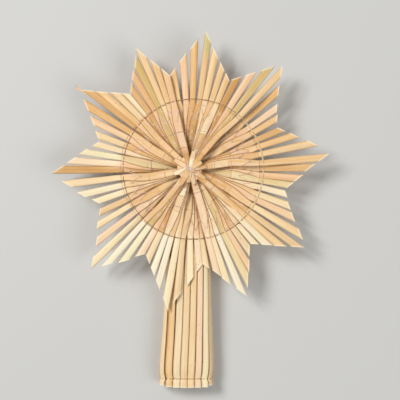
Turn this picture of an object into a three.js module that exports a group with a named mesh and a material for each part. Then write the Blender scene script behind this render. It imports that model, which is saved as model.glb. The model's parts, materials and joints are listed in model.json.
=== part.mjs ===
import * as THREE from 'three';

// A straw star that tops a Christmas tree, lying on its back: a fan of pressed straws tied into ten points,
// on a flattened sleeve of straws that slips over the tree's tip.
// Millimetres. +X is the star's right, +Y points to its top, +Z is up, out of its front.
// Bearings are degrees clockwise from +Y, about the star's centre.

// ---- Star ----
const STRAW_THICK = 0.3; // a pressed straw, both walls together
const LAY_GAP = 0.1; // air left between straws that lie on each other
const VALLEY_REACH = 72; // centre to the notch between two points
const MIDDLE_HEIGHT = 20.6; // height of the star's middle plane above the floor

// The ten points, clockwise from the top one: bearing of the notch before it, its number of rays, which ray
// is the longest, the bearing of that ray and how far it reaches.
const POINTS = [
  { notch: -12.5, rays: 7, longest: 3, peak: 7.5, reach: 106 },
  { notch: 24, rays: 7, longest: 3, peak: 43, reach: 105 },
  { notch: 63, rays: 7, longest: 3, peak: 84.6, reach: 107 },
  { notch: 102, rays: 8, longest: 4, peak: 125.8, reach: 104.5 },
  { notch: 142, rays: 7, longest: 3, peak: 157.4, reach: 105 },
  { notch: 172.5, rays: 7, longest: 3, peak: 190.7, reach: 107 },
  { notch: 207.5, rays: 7, longest: 3, peak: 226.3, reach: 106 },
  { notch: 248, rays: 7, longest: 3, peak: 269.3, reach: 106 },
  { notch: 287.5, rays: 7, longest: 3, peak: 307.3, reach: 102.5 },
  { notch: 321.5, rays: 6, longest: 3, peak: 337.5, reach: 99.5 },
];

// How wide a straw is at each distance from the centre: pressed narrow in the crossing and under the ring
// thread, fanning out towards its cut end.
const WIDTH_PROFILE = [[0, 3.9], [26, 5.3], [44, 5.2], [53, 4.5], [64, 5.1], [84, 5.9], [108, 6.1]];
const WIDTH_SPREAD = 0.12; // straws differ from the profile by up to this share
const LENGTH_SPREAD = 1.2; // hand-cut ends miss the outline by up to this
const BEARING_SPREAD = 0.5; // degrees

// The rays are tied in bundles of four and three, which open out to an even spacing under the ring thread.
const BUNDLES = [4, 3, 4, 3, 4, 3, 4, 3, 4, 3];
const BUNDLE_ORDER = [0, 5, 8, 3, 6, 1, 9, 4, 7, 2]; // from the back of the star to its front
const BUNDLE_PINCH = 0.5; // share of a ray's spacing that is left inside the bundle
const BUNDLE_RADIUS = 26; // the bundles open outside this
const RING_RADIUS = 52.7;
const STATIONS = [5, 10, 16, 24, 33, 43, 53, 64]; // distances from the centre where a straw may bend
const MAX_SLOPE = 0.15; // a straw climbs over the others no steeper than this
const FEEL_STEP = 0.8; // how closely a straw is checked against those under it, along it
const FEEL_LANES = 6; // and across it
const FEEL_MARGIN = 0.25; // and how far beyond its edges

// ---- Sleeve ----
const SLEEVE_STRAWS = 18;
const SLEEVE_STRAW_HALF = 0.5; // half the thickness of a sleeve straw
const SLEEVE_FILL = 0.46; // half width of a straw, as a share of the spacing
const SLEEVE_LEAN = 0.0195; // sideways shift per millimetre down the sleeve
const RIM_Y = -165;
const RIM_RISE = 2.6; // the side straws end this much higher than the middle ones
const RIM_ROUNDING = 4; // the higher, the more the rise keeps to the sides
const TIE_Y = RIM_Y + 6.7; // the thread around the rim
const TIE_PINCH = 0.9; // the thread draws the straws in by this
const INNER_TIE_Y = RIM_Y + 18;
// Down the sleeve: height along Y, outer width, outer depth, how far a thread draws it in.
const SLEEVE_PROFILE = [
  { y: -14, width: 30, depth: 13.2 },
  { y: -34, width: 31, depth: 16 },
  { y: -54, width: 32.5, depth: 18.4 },
  { y: -80, width: 34.2, depth: 19 },
  { y: -120, width: 38, depth: 17.4 },
  { y: TIE_Y + 3.4, width: 41.6, depth: 15.4 },
  { y: TIE_Y, width: 41.8, depth: 15.2, pinch: TIE_PINCH },
  { y: TIE_Y - 2.6, width: 42, depth: 15.1 },
  { y: RIM_Y, width: 42, depth: 15 },
];

// ---- Threads ----
const RING_THREAD_RADIUS = 0.35; // two strands twined
const THREAD_RADIUS = 0.25;
const THREAD_GAP = 0.3;
const RING_CENTRE_X = 2.2; // the ring isn't quite centred on the star
const TIE_THREADS = { inner: 18, middle: 30 }; // radii of the two small tie threads
const THREAD_STEP = 4.6; // length of one straight stretch of a thread on the star
const THREAD_CHECKS = 8; // places along a stretch where it is checked against the straws
const SLEEVE_THREAD_STEP = 2.6;

// ---- Materials ----
const STRAW_COLOURS = {
  cream: 0xf2e2b4,
  gold: 0xe4c07c,
  tan: 0xd29e5c,
  pink: 0xe8c39a,
  green: 0xdccf8e,
};
const STRAW_MIX = ['cream', 'gold', 'cream', 'pink', 'gold', 'tan', 'cream', 'green', 'pink', 'gold', 'tan'];
const STRAW_MIX_STRIDE = 4; // neighbouring straws take tones this far apart in the mix
const STRAW_ROUGHNESS = 0.45;
const THREAD_COLOUR = 0xa9814f;
const THREAD_ROUGHNESS = 0.8;

// A number from -1 to 1 that looks random but is always the same for the same seed.
function scatter(seed) {
  const wave = Math.sin(seed * 127.1 + 311.7) * 43758.5453;
  return 2 * (wave - Math.floor(wave)) - 1;
}

function profileAt(profile, x) {
  let i = 0;
  while (i < profile.length - 2 && x > profile[i + 1][0]) i += 1;
  const [x0, y0] = profile[i];
  const [x1, y1] = profile[i + 1];
  return THREE.MathUtils.lerp(y0, y1, THREE.MathUtils.clamp((x - x0) / (x1 - x0), 0, 1));
}

function outward(bearing) {
  const angle = THREE.MathUtils.degToRad(bearing);
  return new THREE.Vector2(Math.sin(angle), Math.cos(angle));
}

// The direction to the clockwise side of an outward direction.
function clockwise(direction) {
  return new THREE.Vector2(direction.y, -direction.x);
}

function at(origin, direction, length) {
  return origin.clone().addScaledVector(direction, length);
}

// One closed body through a row of rings of points. A closed row joins its last ring to its first.
function loft(rings, closed = false) {
  const sides = rings[0].length;
  const positions = rings.flat().flatMap((point) => [point.x, point.y, point.z]);
  const index = [];
  const spans = closed ? rings.length : rings.length - 1;
  for (let i = 0; i < spans; i += 1) {
    const here = i * sides;
    const next = ((i + 1) % rings.length) * sides;
    for (let k = 0; k < sides; k += 1) {
      const l = (k + 1) % sides;
      index.push(here + k, here + l, next + l, here + k, next + l, next + k);
    }
  }
  if (!closed) {
    const last = (rings.length - 1) * sides;
    for (let k = 1; k < sides - 1; k += 1) {
      index.push(0, k + 1, k, last, last + k, last + k + 1);
    }
  }
  const geometry = new THREE.BufferGeometry();
  geometry.setAttribute('position', new THREE.Float32BufferAttribute(positions, 3));
  geometry.setIndex(index);
  geometry.computeVertexNormals();
  return geometry;
}

// ---- Layout of the rays ----

// The 70 rays in order: each has its bearing, its width factor and the line its end is cut along.
function layOutRays() {
  const rays = [];
  POINTS.forEach((point, p) => {
    const nextNotch = p + 1 < POINTS.length ? POINTS[p + 1].notch : POINTS[0].notch + 360;
    const pitchBefore = (point.peak - point.notch) / (point.longest + 0.5);
    const pitchAfter = (nextNotch - point.peak) / (point.rays - point.longest - 0.5);
    const apexOut = outward(point.peak);
    const halfTip = profileAt(WIDTH_PROFILE, point.reach) / 2;
    const apex = at(apexOut.clone().multiplyScalar(point.reach), clockwise(apexOut), -halfTip);
    for (let k = 0; k < point.rays; k += 1) {
      const seed = rays.length + 1;
      const notch = k < point.longest ? point.notch : nextNotch;
      const pitch = k < point.longest ? pitchBefore : pitchAfter;
      rays.push({
        bearing: point.peak + pitch * (k - point.longest) + BEARING_SPREAD * scatter(seed),
        widthFactor: 1 + WIDTH_SPREAD * scatter(seed + 100),
        cutFrom: apex,
        cutTo: outward(notch).multiplyScalar(VALLEY_REACH),
        trim: k === point.longest ? 0 : LENGTH_SPREAD * scatter(seed + 200),
      });
    }
  });
  return rays;
}

// Distance out along a ray at which its edge, `side` from its middle line, meets the cut.
function cutDistance(ray, side) {
  const out = outward(ray.bearing);
  const cut = ray.cutTo.clone().sub(ray.cutFrom);
  const reach = ray.cutFrom.cross(cut) - side * clockwise(out).cross(cut);
  return reach / out.cross(cut) + ray.trim;
}

// One half of a straw, from near the centre to its cut end: points along its middle line with their edges.
function halfStraw(ray, bundleBearing) {
  const fan = (r) => THREE.MathUtils.lerp(BUNDLE_PINCH, 1,
    THREE.MathUtils.smoothstep(r, BUNDLE_RADIUS, RING_RADIUS));
  const stations = STATIONS.map((r) => {
    const bearing = bundleBearing + (ray.bearing - bundleBearing) * fan(r);
    return { r, out: outward(bearing), half: ray.widthFactor * profileAt(WIDTH_PROFILE, r) / 2 };
  });
  const half = ray.widthFactor * profileAt(WIDTH_PROFILE, VALLEY_REACH + 15) / 2;
  const ccw = cutDistance(ray, -half);
  const cw = cutDistance(ray, half);
  stations.push({ r: (ccw + cw) / 2, out: outward(ray.bearing), half, ccw, cw });
  return stations;
}

// The two edge points of a station: [counter-clockwise side, clockwise side].
function edges(station) {
  const side = clockwise(station.out);
  const middle = (r) => station.out.clone().multiplyScalar(r);
  return [
    at(middle(station.ccw ?? station.r), side, -station.half),
    at(middle(station.cw ?? station.r), side, station.half),
  ];
}

// A whole straw: the plan of its edges from one cut end, through the centre, to the other.
function planStraw(rays, i, bundleBearing) {
  const near = halfStraw(rays[i], bundleBearing);
  const far = halfStraw(rays[i + rays.length / 2], bundleBearing + 180);
  const centre = { r: 0, out: outward(bundleBearing), half: profileAt(WIDTH_PROFILE, 0) / 2 };
  const flipped = (station) => {
    const [ccw, cw] = edges(station);
    return { along: -station.r, left: cw, right: ccw };
  };
  const forward = (station) => {
    const [left, right] = edges(station);
    return { along: station.r, left, right };
  };
  return [...far.reverse().map(flipped), forward(centre), ...near.map(forward)];
}

function layOutStraws() {
  const rays = layOutRays();
  const bundles = [];
  let first = 0;
  for (const count of BUNDLES) {
    const members = Array.from({ length: count }, (_, k) => first + k);
    const middle = members.reduce((sum, i) => sum + rays[i].bearing, 0) / count;
    bundles.push(members.map((i) => ({ number: i + 1, plan: planStraw(rays, i, middle) })));
    first += count;
  }
  return BUNDLE_ORDER.flatMap((b) => bundles[b]);
}

// ---- Laying the straws over each other ----

// Height of the top of the straws already laid, above the star's middle plane, at one point.
function heightOver(laid, point, margin) {
  let height = 0;
  for (const { plan, heights } of laid) {
    for (let i = 0; i < plan.length - 1; i += 1) {
      const start = plan[i].left.clone().add(plan[i].right).multiplyScalar(0.5);
      const end = plan[i + 1].left.clone().add(plan[i + 1].right).multiplyScalar(0.5);
      const axis = end.clone().sub(start);
      const span = axis.length();
      const offset = point.clone().sub(start);
      const t = offset.dot(axis) / (span * span);
      if (t < -margin / span || t > 1 + margin / span) continue;
      const halfStart = plan[i].left.distanceTo(plan[i].right) / 2;
      const halfEnd = plan[i + 1].left.distanceTo(plan[i + 1].right) / 2;
      const half = Math.max(halfStart, halfEnd) + margin;
      if (Math.abs(offset.cross(axis)) / span > half) continue;
      const clamped = THREE.MathUtils.clamp(t, 0, 1);
      const top = THREE.MathUtils.lerp(heights[i], heights[i + 1], clamped) + STRAW_THICK;
      height = Math.max(height, top + LAY_GAP);
    }
  }
  return height;
}

// A straw is too stiff to dive steeply: each station is raised to at least MAX_SLOPE below the others.
function limitSlope(plan, heights) {
  for (let i = 0; i < plan.length; i += 1) {
    for (let k = 0; k < plan.length; k += 1) {
      const fall = MAX_SLOPE * Math.abs(plan[i].along - plan[k].along);
      heights[i] = Math.max(heights[i], heights[k] - fall);
    }
  }
}

// Heights of a straw's stations so that it lies on the straws under it and bends gently.
function drape(plan, laid) {
  const needs = [];
  for (let i = 0; i < plan.length - 1; i += 1) {
    const steps = Math.ceil(Math.abs(plan[i + 1].along - plan[i].along) / FEEL_STEP);
    for (let k = 0; k <= steps; k += 1) {
      const t = k / steps;
      const left = plan[i].left.clone().lerp(plan[i + 1].left, t);
      const right = plan[i].right.clone().lerp(plan[i + 1].right, t);
      let height = 0;
      for (let lane = 0; lane <= FEEL_LANES; lane += 1) {
        const point = left.clone().lerp(right, lane / FEEL_LANES);
        height = Math.max(height, heightOver(laid, point, FEEL_MARGIN));
      }
      needs.push({ i, t, height });
    }
  }
  const heights = plan.map(() => 0);
  for (const { i, t, height } of needs) {
    if (t === 0) heights[i] = Math.max(heights[i], height);
    if (t === 1) heights[i + 1] = Math.max(heights[i + 1], height);
  }
  limitSlope(plan, heights);
  for (let round = 0; round < 60; round += 1) {
    const raise = plan.map(() => 0);
    for (const { i, t, height } of needs) {
      const lack = height - THREE.MathUtils.lerp(heights[i], heights[i + 1], t);
      const share = Math.max(0, lack) / ((1 - t) ** 2 + t ** 2);
      raise[i] = Math.max(raise[i], share * (1 - t));
      raise[i + 1] = Math.max(raise[i + 1], share * t);
    }
    heights.forEach((height, i) => { heights[i] = height + raise[i]; });
    if (Math.max(...raise) < 0.002) break;
  }
  return heights;
}

// Lays half of the straws upwards from the middle plane and the other half downwards.
function layStar() {
  const straws = layOutStraws();
  const back = straws.slice(0, Math.floor(straws.length / 2)).reverse();
  const front = straws.slice(back.length);
  for (const pile of [front, back]) {
    const laid = [];
    for (const straw of pile) {
      straw.heights = drape(straw.plan, laid);
      laid.push(straw);
    }
  }
  return { front, back };
}

function starStraw(straw, up) {
  const rings = straw.plan.map(({ left, right }, i) => {
    const near = up * (straw.heights[i] + LAY_GAP / 2);
    const far = near + up * STRAW_THICK;
    const low = MIDDLE_HEIGHT + Math.min(near, far);
    const high = MIDDLE_HEIGHT + Math.max(near, far);
    return [
      new THREE.Vector3(left.x, left.y, low),
      new THREE.Vector3(left.x, left.y, high),
      new THREE.Vector3(right.x, right.y, high),
      new THREE.Vector3(right.x, right.y, low),
    ];
  });
  return loft(rings);
}

// ---- Sleeve ----

// Point and outward normal on a flattened round tube, `share` of the way around from its front middle.
function aroundTube(width, depth, share) {
  const flat = (width - depth) / 2;
  const radius = depth / 2;
  const arc = Math.PI * radius;
  const length = (((share % 1) + 1) % 1) * (4 * flat + 2 * arc);
  const turn = (centre, angle) => ({
    x: centre + radius * Math.sin(angle),
    z: radius + radius * Math.cos(angle),
    normal: new THREE.Vector2(Math.sin(angle), Math.cos(angle)),
  });
  if (length < flat) return { x: length, z: depth, normal: new THREE.Vector2(0, 1) };
  if (length < flat + arc) return turn(flat, (length - flat) / radius);
  if (length < 3 * flat + arc) {
    return { x: 2 * flat + arc - length, z: 0, normal: new THREE.Vector2(0, -1) };
  }
  if (length < 3 * flat + 2 * arc) return turn(-flat, Math.PI + (length - 3 * flat - arc) / radius);
  return { x: length - 4 * flat - 2 * arc, z: depth, normal: new THREE.Vector2(0, 1) };
}

// The middle line of the sleeve's wall at one profile step, moved out from it by `offset`.
function onSleeve(step, share, offset = 0) {
  const inset = SLEEVE_STRAW_HALF + (step.pinch ?? 0);
  const { x, z, normal } = aroundTube(step.width - 2 * inset, step.depth - 2 * inset, share);
  const out = new THREE.Vector3(normal.x, 0, normal.y);
  const across = new THREE.Vector3(normal.y, 0, -normal.x);
  const point = at(new THREE.Vector3(x + SLEEVE_LEAN * step.y, step.y, z + inset), out, offset);
  return { point, out, across };
}

function sleeveStraw(i) {
  const share = (i + 0.5) / SLEEVE_STRAWS;
  const rings = SLEEVE_PROFILE.map((step) => {
    const { point, out, across } = onSleeve(step, share);
    const before = onSleeve(step, share - 1 / SLEEVE_STRAWS).point;
    const after = onSleeve(step, share + 1 / SLEEVE_STRAWS).point;
    const half = SLEEVE_FILL * Math.min(point.distanceTo(before), point.distanceTo(after));
    if (step.y === RIM_Y) {
      const aside = Math.abs(point.x - SLEEVE_LEAN * step.y) / (step.width / 2);
      point.y += RIM_RISE * aside ** RIM_ROUNDING;
    }
    const corner = (u, v) => {
      const spot = at(at(point, across, u * half), out, v * SLEEVE_STRAW_HALF);
      spot.z = Math.max(0, spot.z);
      return spot;
    };
    return [corner(1, 0), corner(0.5, 1), corner(-0.5, 1), corner(-1, 0), corner(-0.5, -1), corner(0.5, -1)];
  });
  return loft(rings);
}

// ---- Threads ----

// A closed loop of thread with a square section.
function threadLoop(stations, radius) {
  return loft(stations.map(({ point, out, side }) => [
    at(point, out, radius), at(point, side, radius), at(point, out, -radius), at(point, side, -radius),
  ]), true);
}

// A thread ring lying on one face of the star: `up` is 1 on the front and -1 on the back.
function starThread(pile, up, ringRadius, radius, centreX) {
  const count = Math.round(2 * Math.PI * ringRadius / THREAD_STEP);
  const spot = (share) => at(new THREE.Vector2(centreX, 0), outward(360 * share / count), ringRadius);
  const stations = Array.from({ length: count }, (_, i) => {
    let height = 0;
    for (let k = -THREAD_CHECKS; k <= THREAD_CHECKS; k += 1) {
      height = Math.max(height, heightOver(pile, spot(i + k / THREAD_CHECKS), 2 * radius));
    }
    const { x, y } = spot(i);
    const out = outward(360 * i / count);
    return {
      point: new THREE.Vector3(x, y, MIDDLE_HEIGHT + up * (height + LAY_GAP + radius)),
      out: new THREE.Vector3(out.x, out.y, 0),
      side: new THREE.Vector3(0, 0, 1),
    };
  });
  return threadLoop(stations, radius);
}

// A thread around the sleeve's straws: outside them, or inside for a negative direction.
function sleeveThread(step, direction) {
  const count = Math.round(2 * (step.width + step.depth) / SLEEVE_THREAD_STEP);
  const offset = direction * (SLEEVE_STRAW_HALF + THREAD_GAP + THREAD_RADIUS);
  const stations = Array.from({ length: count }, (_, i) => {
    const { point, out } = onSleeve(step, i / count, offset);
    return { point, out, side: new THREE.Vector3(0, -1, 0) };
  });
  return threadLoop(stations, THREAD_RADIUS);
}

// The sleeve's profile between two of its steps.
function sleeveStepAt(y) {
  const after = SLEEVE_PROFILE.findIndex((step) => step.y <= y);
  const [upper, lower] = [SLEEVE_PROFILE[after - 1], SLEEVE_PROFILE[after]];
  const t = (y - upper.y) / (lower.y - upper.y);
  return {
    y,
    width: THREE.MathUtils.lerp(upper.width, lower.width, t),
    depth: THREE.MathUtils.lerp(upper.depth, lower.depth, t),
    pinch: THREE.MathUtils.lerp(upper.pinch ?? 0, lower.pinch ?? 0, t),
  };
}

// ---- Assembly ----

const topper = new THREE.Group();

function add(name, geometry, color, roughness) {
  const material = new THREE.MeshStandardMaterial({ color, roughness, metalness: 0 });
  const mesh = new THREE.Mesh(geometry, material);
  mesh.name = name;
  topper.add(mesh);
}

function addStraw(kind, number, geometry) {
  const tone = STRAW_MIX[(number * STRAW_MIX_STRIDE) % STRAW_MIX.length];
  add(`${kind}_${String(number).padStart(2, '0')}`, geometry, STRAW_COLOURS[tone], STRAW_ROUGHNESS);
}

function addThread(name, geometry) {
  add(name, geometry, THREAD_COLOUR, THREAD_ROUGHNESS);
}

const { front, back } = layStar();
for (const straw of front) addStraw('star_straw', straw.number, starStraw(straw, 1));
for (const straw of back) addStraw('star_straw', straw.number, starStraw(straw, -1));
for (let i = 0; i < SLEEVE_STRAWS; i += 1) addStraw('sleeve_straw', i + 1, sleeveStraw(i));

addThread('ring_thread_front', starThread(front, 1, RING_RADIUS, RING_THREAD_RADIUS, RING_CENTRE_X));
addThread('ring_thread_back', starThread(back, -1, RING_RADIUS, RING_THREAD_RADIUS, RING_CENTRE_X));
for (const [name, radius] of Object.entries(TIE_THREADS)) {
  addThread(`${name}_tie_thread`, starThread(front, 1, radius, THREAD_RADIUS, 0));
}
addThread('sleeve_rim_thread', sleeveThread(sleeveStepAt(TIE_Y), 1));
addThread('sleeve_inner_thread', sleeveThread(sleeveStepAt(INNER_TIE_Y), -1));

// The origin is under the middle of the whole object, on the floor.
const box = new THREE.Box3().setFromObject(topper);
topper.position.set(-(box.min.x + box.max.x) / 2, -(box.min.y + box.max.y) / 2, -box.min.z);

export default topper;
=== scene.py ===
import json
import math
import random

import bmesh
import bpy
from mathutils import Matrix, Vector
from mathutils.bvhtree import BVHTree


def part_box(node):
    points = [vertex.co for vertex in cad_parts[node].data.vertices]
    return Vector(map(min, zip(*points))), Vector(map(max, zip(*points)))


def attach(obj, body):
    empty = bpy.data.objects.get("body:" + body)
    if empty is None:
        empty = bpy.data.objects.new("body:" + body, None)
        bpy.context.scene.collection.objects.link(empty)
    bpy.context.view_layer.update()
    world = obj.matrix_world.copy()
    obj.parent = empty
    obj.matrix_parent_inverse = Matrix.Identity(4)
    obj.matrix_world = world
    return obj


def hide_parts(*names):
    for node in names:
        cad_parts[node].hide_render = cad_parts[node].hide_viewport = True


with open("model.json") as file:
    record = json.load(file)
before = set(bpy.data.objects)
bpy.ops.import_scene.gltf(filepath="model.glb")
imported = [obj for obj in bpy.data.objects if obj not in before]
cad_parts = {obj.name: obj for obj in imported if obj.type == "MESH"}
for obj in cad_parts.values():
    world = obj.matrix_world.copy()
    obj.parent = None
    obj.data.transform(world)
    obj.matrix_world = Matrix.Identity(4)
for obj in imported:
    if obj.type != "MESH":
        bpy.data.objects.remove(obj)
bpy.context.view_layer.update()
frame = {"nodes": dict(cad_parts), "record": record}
nodes = frame["nodes"]


# ---- Straws of the star ----
# Each is one rye straw pressed flat with a hot iron and cut to length at a slant, so its cut ends show
# two thin walls with a slit between them. It is hollow, satin on its waxy skin and grained lengthwise.
# It runs right through the centre of the star, where the straws are piled on each other and tied.

MM = 0.001
BLANK_SIDES = 20  # around a straw
BLANK_STEP = 2.5 * MM  # along it
BLANK_REACH = 120 * MM  # from its middle, before it is cut to length
# Distance from the middle, width and thickness of the pressed straw: it is squeezed where it crosses
# the others and under the ring thread, and springs open towards its ends. The straws at the bottom of
# the pile were ironed the widest.
PRESSED = (
    (0, 3.7, 0.34), (26, 4.9, 0.4), (44, 4.9, 0.55), (49, 4.6, 0.5), (52.7, 4.15, 0.42), (57, 4.5, 0.85),
    (66, 4.9, 1.15), (84, 5.65, 1.6), (120, 5.9, 2.0),
)
PRESSED_WIDE = (
    (0, 3.7, 0.32), (8, 4.4, 0.34), (20, 6.0, 0.36), (38, 6.6, 0.42), (46, 5.6, 0.45),
) + PRESSED[4:]
LAST_LAID = 7  # this many straws lie on top of the pile and stay narrow
WALL = 0.16 * MM
HOLLOW_DEPTH = 3 * MM  # how far one can look into a cut end
SMOOTH_ANGLE = math.radians(40)  # sharper folds than this stay sharp


def deselect_all():
    bpy.ops.object.select_all(action="DESELECT")


def activate(piece):
    deselect_all()
    piece.select_set(True)
    bpy.context.view_layer.objects.active = piece


def apply_modifier(piece, kind, **settings):
    modifier = piece.modifiers.new(kind.lower(), kind)
    for name, value in settings.items():
        setattr(modifier, name, value)
    activate(piece)
    bpy.ops.object.modifier_apply(modifier=modifier.name)


def clamped(value, lowest=0.0, highest=1.0):
    return max(lowest, min(highest, value))


def profile_at(profile, distance):
    """Width and thickness at a distance, both in millimetres."""
    for (x0, *start), (x1, *end) in zip(profile, profile[1:]):
        if distance <= x1:
            share = (distance - x0) / (x1 - x0)
            return [a + (b - a) * share for a, b in zip(start, end)]
    return profile[-1][1:]


def drawn_out(name, profile, reach, sides):
    """An open tube lying along X from the origin, drawn out of a circle to the profile's widths."""
    deselect_all()
    bpy.ops.mesh.primitive_circle_add(vertices=sides, radius=0.5, rotation=(0, math.pi / 2, 0))
    blank = bpy.context.object
    blank.name = name
    bpy.ops.object.transform_apply(rotation=True)
    bpy.ops.object.mode_set(mode="EDIT")
    bpy.ops.mesh.select_all(action="SELECT")
    width, thick = (value * MM for value in profile_at(profile, 0))
    bpy.ops.transform.resize(value=(1, width, thick))
    for step in range(1, round(reach / BLANK_STEP) + 1):
        x = step * BLANK_STEP
        next_width, next_thick = (value * MM for value in profile_at(profile, x / MM))
        bpy.ops.mesh.extrude_region_move(TRANSFORM_OT_translate={"value": (BLANK_STEP, 0, 0)})
        bpy.ops.transform.resize(
            value=(1, next_width / width, next_thick / thick), center_override=(x, 0, 0)
        )
        width, thick = next_width, next_thick
    bpy.ops.object.mode_set(mode="OBJECT")
    return blank


def faces_outward(piece):
    activate(piece)
    bpy.ops.object.mode_set(mode="EDIT")
    bpy.ops.mesh.select_all(action="SELECT")
    bpy.ops.mesh.normals_make_consistent(inside=False)
    bpy.ops.object.mode_set(mode="OBJECT")


def copy_of(piece, name):
    copied = piece.copy()
    copied.data = piece.data.copy()
    copied.name = name
    bpy.context.scene.collection.objects.link(copied)
    return copied


def cut_end(straw, first, second, outward):
    """Cuts the straw off along the line through two (x, y) places, and opens the cut end as a hollow slit."""
    along = Vector((second[0] - first[0], second[1] - first[1], 0))
    normal = Vector((along.y, -along.x, 0)).normalized()
    if normal.x * outward < 0:
        normal.negate()
    activate(straw)
    bpy.ops.object.mode_set(mode="EDIT")
    bpy.ops.mesh.select_all(action="SELECT")
    bpy.ops.mesh.bisect(
        plane_co=(first[0], first[1], 0), plane_no=normal, use_fill=True, clear_outer=True
    )
    bpy.ops.mesh.select_mode(type="FACE")
    mesh = bmesh.from_edit_mesh(straw.data)
    for face in mesh.faces:
        face.select = len(face.verts) > 4 and face.normal.dot(normal) > 0.9
    mesh.select_flush_mode()
    bmesh.update_edit_mesh(straw.data)
    bpy.ops.mesh.inset(thickness=WALL, use_even_offset=True)
    bpy.ops.mesh.extrude_region_move(
        TRANSFORM_OT_translate={"value": (-outward * HOLLOW_DEPTH, 0, 0)}
    )
    bpy.ops.mesh.select_mode(type="VERT")
    bpy.ops.object.mode_set(mode="OBJECT")
    return Vector(first), normal.to_2d()


def note_places(straw, seed, profile, widening, origin, planes, bleach_and_painted_light, unripe=lambda x: 0.0):
    """Stores what the grain needs, before the straw is bent. straw_place holds where a point lies along and
    across the straw, and across as a share of its width; straw_state holds the straw's own number, how
    bleached it is there, with the painted light and shade of its side of the star, and how far in from the
    nearest cut end the point lies, in millimetres; straw_unripe holds how green it still is."""
    mesh = straw.data
    places, states = [], []
    for v in mesh.vertices:
        x = v.co.x - origin
        half = profile_at(profile, abs(x) / MM)[0] * MM * widening / 2
        places += [x, v.co.y, clamped(v.co.y / half, -1.0)]
        depth = min(abs((v.co.to_2d() - spot).dot(normal)) for spot, normal in planes)
        states += [seed, bleach_and_painted_light(x), depth / MM]
    mesh.attributes.new("straw_place", "FLOAT_VECTOR", "POINT").data.foreach_set("vector", places)
    mesh.attributes.new("straw_state", "FLOAT_VECTOR", "POINT").data.foreach_set("vector", states)
    green = [unripe(v.co.x - origin) for v in mesh.vertices]
    mesh.attributes.new("straw_unripe", "FLOAT", "POINT").data.foreach_set("value", green)


def bend_along(piece, points, tilts=None, radii=None, closed=False):
    """Bends a straight piece, whose X runs along it, along a smooth curve through the points."""
    curve = bpy.data.curves.new("bend", "CURVE")
    curve.dimensions = "3D"
    curve.twist_mode = "Z_UP"
    curve.resolution_u = 12
    spline = curve.splines.new("BEZIER")
    spline.use_cyclic_u = closed
    spline.bezier_points.add(len(points) - 1)
    for i, (place, point) in enumerate(zip(points, spline.bezier_points)):
        point.co = place
        point.handle_left_type = point.handle_right_type = "AUTO"
        point.tilt = tilts[i] if tilts else 0
        point.radius = radii[i] if radii else 1
    guide = bpy.data.objects.new("bend", curve)
    bpy.context.scene.collection.objects.link(guide)
    bpy.context.view_layer.update()
    if closed:
        stretch = spline.calc_length(resolution=12) / max(v.co.x for v in piece.data.vertices)
        activate(piece)
        bpy.ops.transform.resize(value=(stretch, 1, 1))
        bpy.ops.object.transform_apply(scale=True)
    apply_modifier(piece, "CURVE", object=guide, deform_axis="POS_X")
    bpy.data.objects.remove(guide)
    bpy.data.curves.remove(curve)


def straw_stations(node, per_station, axis):
    """The CAD straw's cross-sections, in order along an axis: each a list of its corner points."""
    corners = {tuple(round(value, 6) for value in v.co) for v in nodes[node].data.vertices}
    corners = sorted((Vector(corner) for corner in corners), key=lambda corner: corner.dot(axis))
    return [corners[i:i + per_station] for i in range(0, len(corners), per_station)]


def star_straw_route(node):
    """Middle points of a star straw's sections, and the two edge points of each of its cut ends."""
    points = [v.co for v in nodes[node].data.vertices]
    far = max(points, key=lambda point: (point - star_centre).length)
    axis = (far - star_centre).normalized()
    across = Vector((-axis.y, axis.x, 0)).normalized()
    route, ends = [], []
    for station in straw_stations(node, 4, axis):
        ordered = sorted(station, key=lambda corner: corner.dot(across))
        right = (ordered[0] + ordered[1]) / 2
        left = (ordered[2] + ordered[3]) / 2
        route.append((left + right) / 2)
        ends.append((left, right))
    return route, ends[0], ends[-1]


# The star's centre is where all its straws cross: the middle of the box of the inner tie thread.
low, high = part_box("inner_tie_thread")
ring_low, ring_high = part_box("ring_thread_front")
star_centre = Vector(((low.x + high.x) / 2, (low.y + high.y) / 2, ring_low.z))


def level_directions(start, end):
    """The level direction from one point towards another, and the one to its left."""
    heading = end - start
    heading.z = 0
    heading.normalize()
    return heading, Vector((-heading.y, heading.x, 0))


def flat_end(route, edge_pair, last):
    """Where the two edges of a cut end lie on the straight straw: how far past its last section, and how
    far to the side."""
    inner, outer = (route[-2], route[-1]) if last else (route[1], route[0])
    heading, sideways = level_directions(inner, outer)
    return [((edge - inner).dot(heading), (edge - inner).dot(sideways)) for edge in edge_pair]


def lengths_along(route):
    """How far along a route each of its points is."""
    total = [0.0]
    for start, end in zip(route, route[1:]):
        total.append(total[-1] + (end - start).length)
    return total


def new_material(name):
    """A material, its node tree and its shader."""
    material = bpy.data.materials.new(name)
    material.use_nodes = True
    return material, material.node_tree, material.node_tree.nodes["Principled BSDF"]


def new_group(name, inputs, outputs):
    """A shader node group with its input and output sockets, and its two end nodes."""
    group = bpy.data.node_groups.new(name, "ShaderNodeTree")
    for socket, kind, default in inputs:
        made = group.interface.new_socket(socket, in_out="INPUT", socket_type=kind)
        made.default_value = default
    for socket, kind in outputs:
        group.interface.new_socket(socket, in_out="OUTPUT", socket_type=kind)
    return group, group.nodes.new("NodeGroupInput"), group.nodes.new("NodeGroupOutput")


def add_node(tree, kind, **settings):
    node = tree.nodes.new(kind)
    for name, value in settings.items():
        setattr(node, name, value)
    return node


def math_node(tree, operation, first, second=None, third=None, clamp=False):
    """A Math node on sockets or plain numbers, and its output."""
    node = add_node(tree, "ShaderNodeMath", operation=operation, use_clamp=clamp)
    for socket, value in zip(node.inputs, (first, second, third)):
        if value is None:
            continue
        if isinstance(value, bpy.types.NodeSocket):
            tree.links.new(value, socket)
        else:
            socket.default_value = value
    return node.outputs[0]


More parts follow.
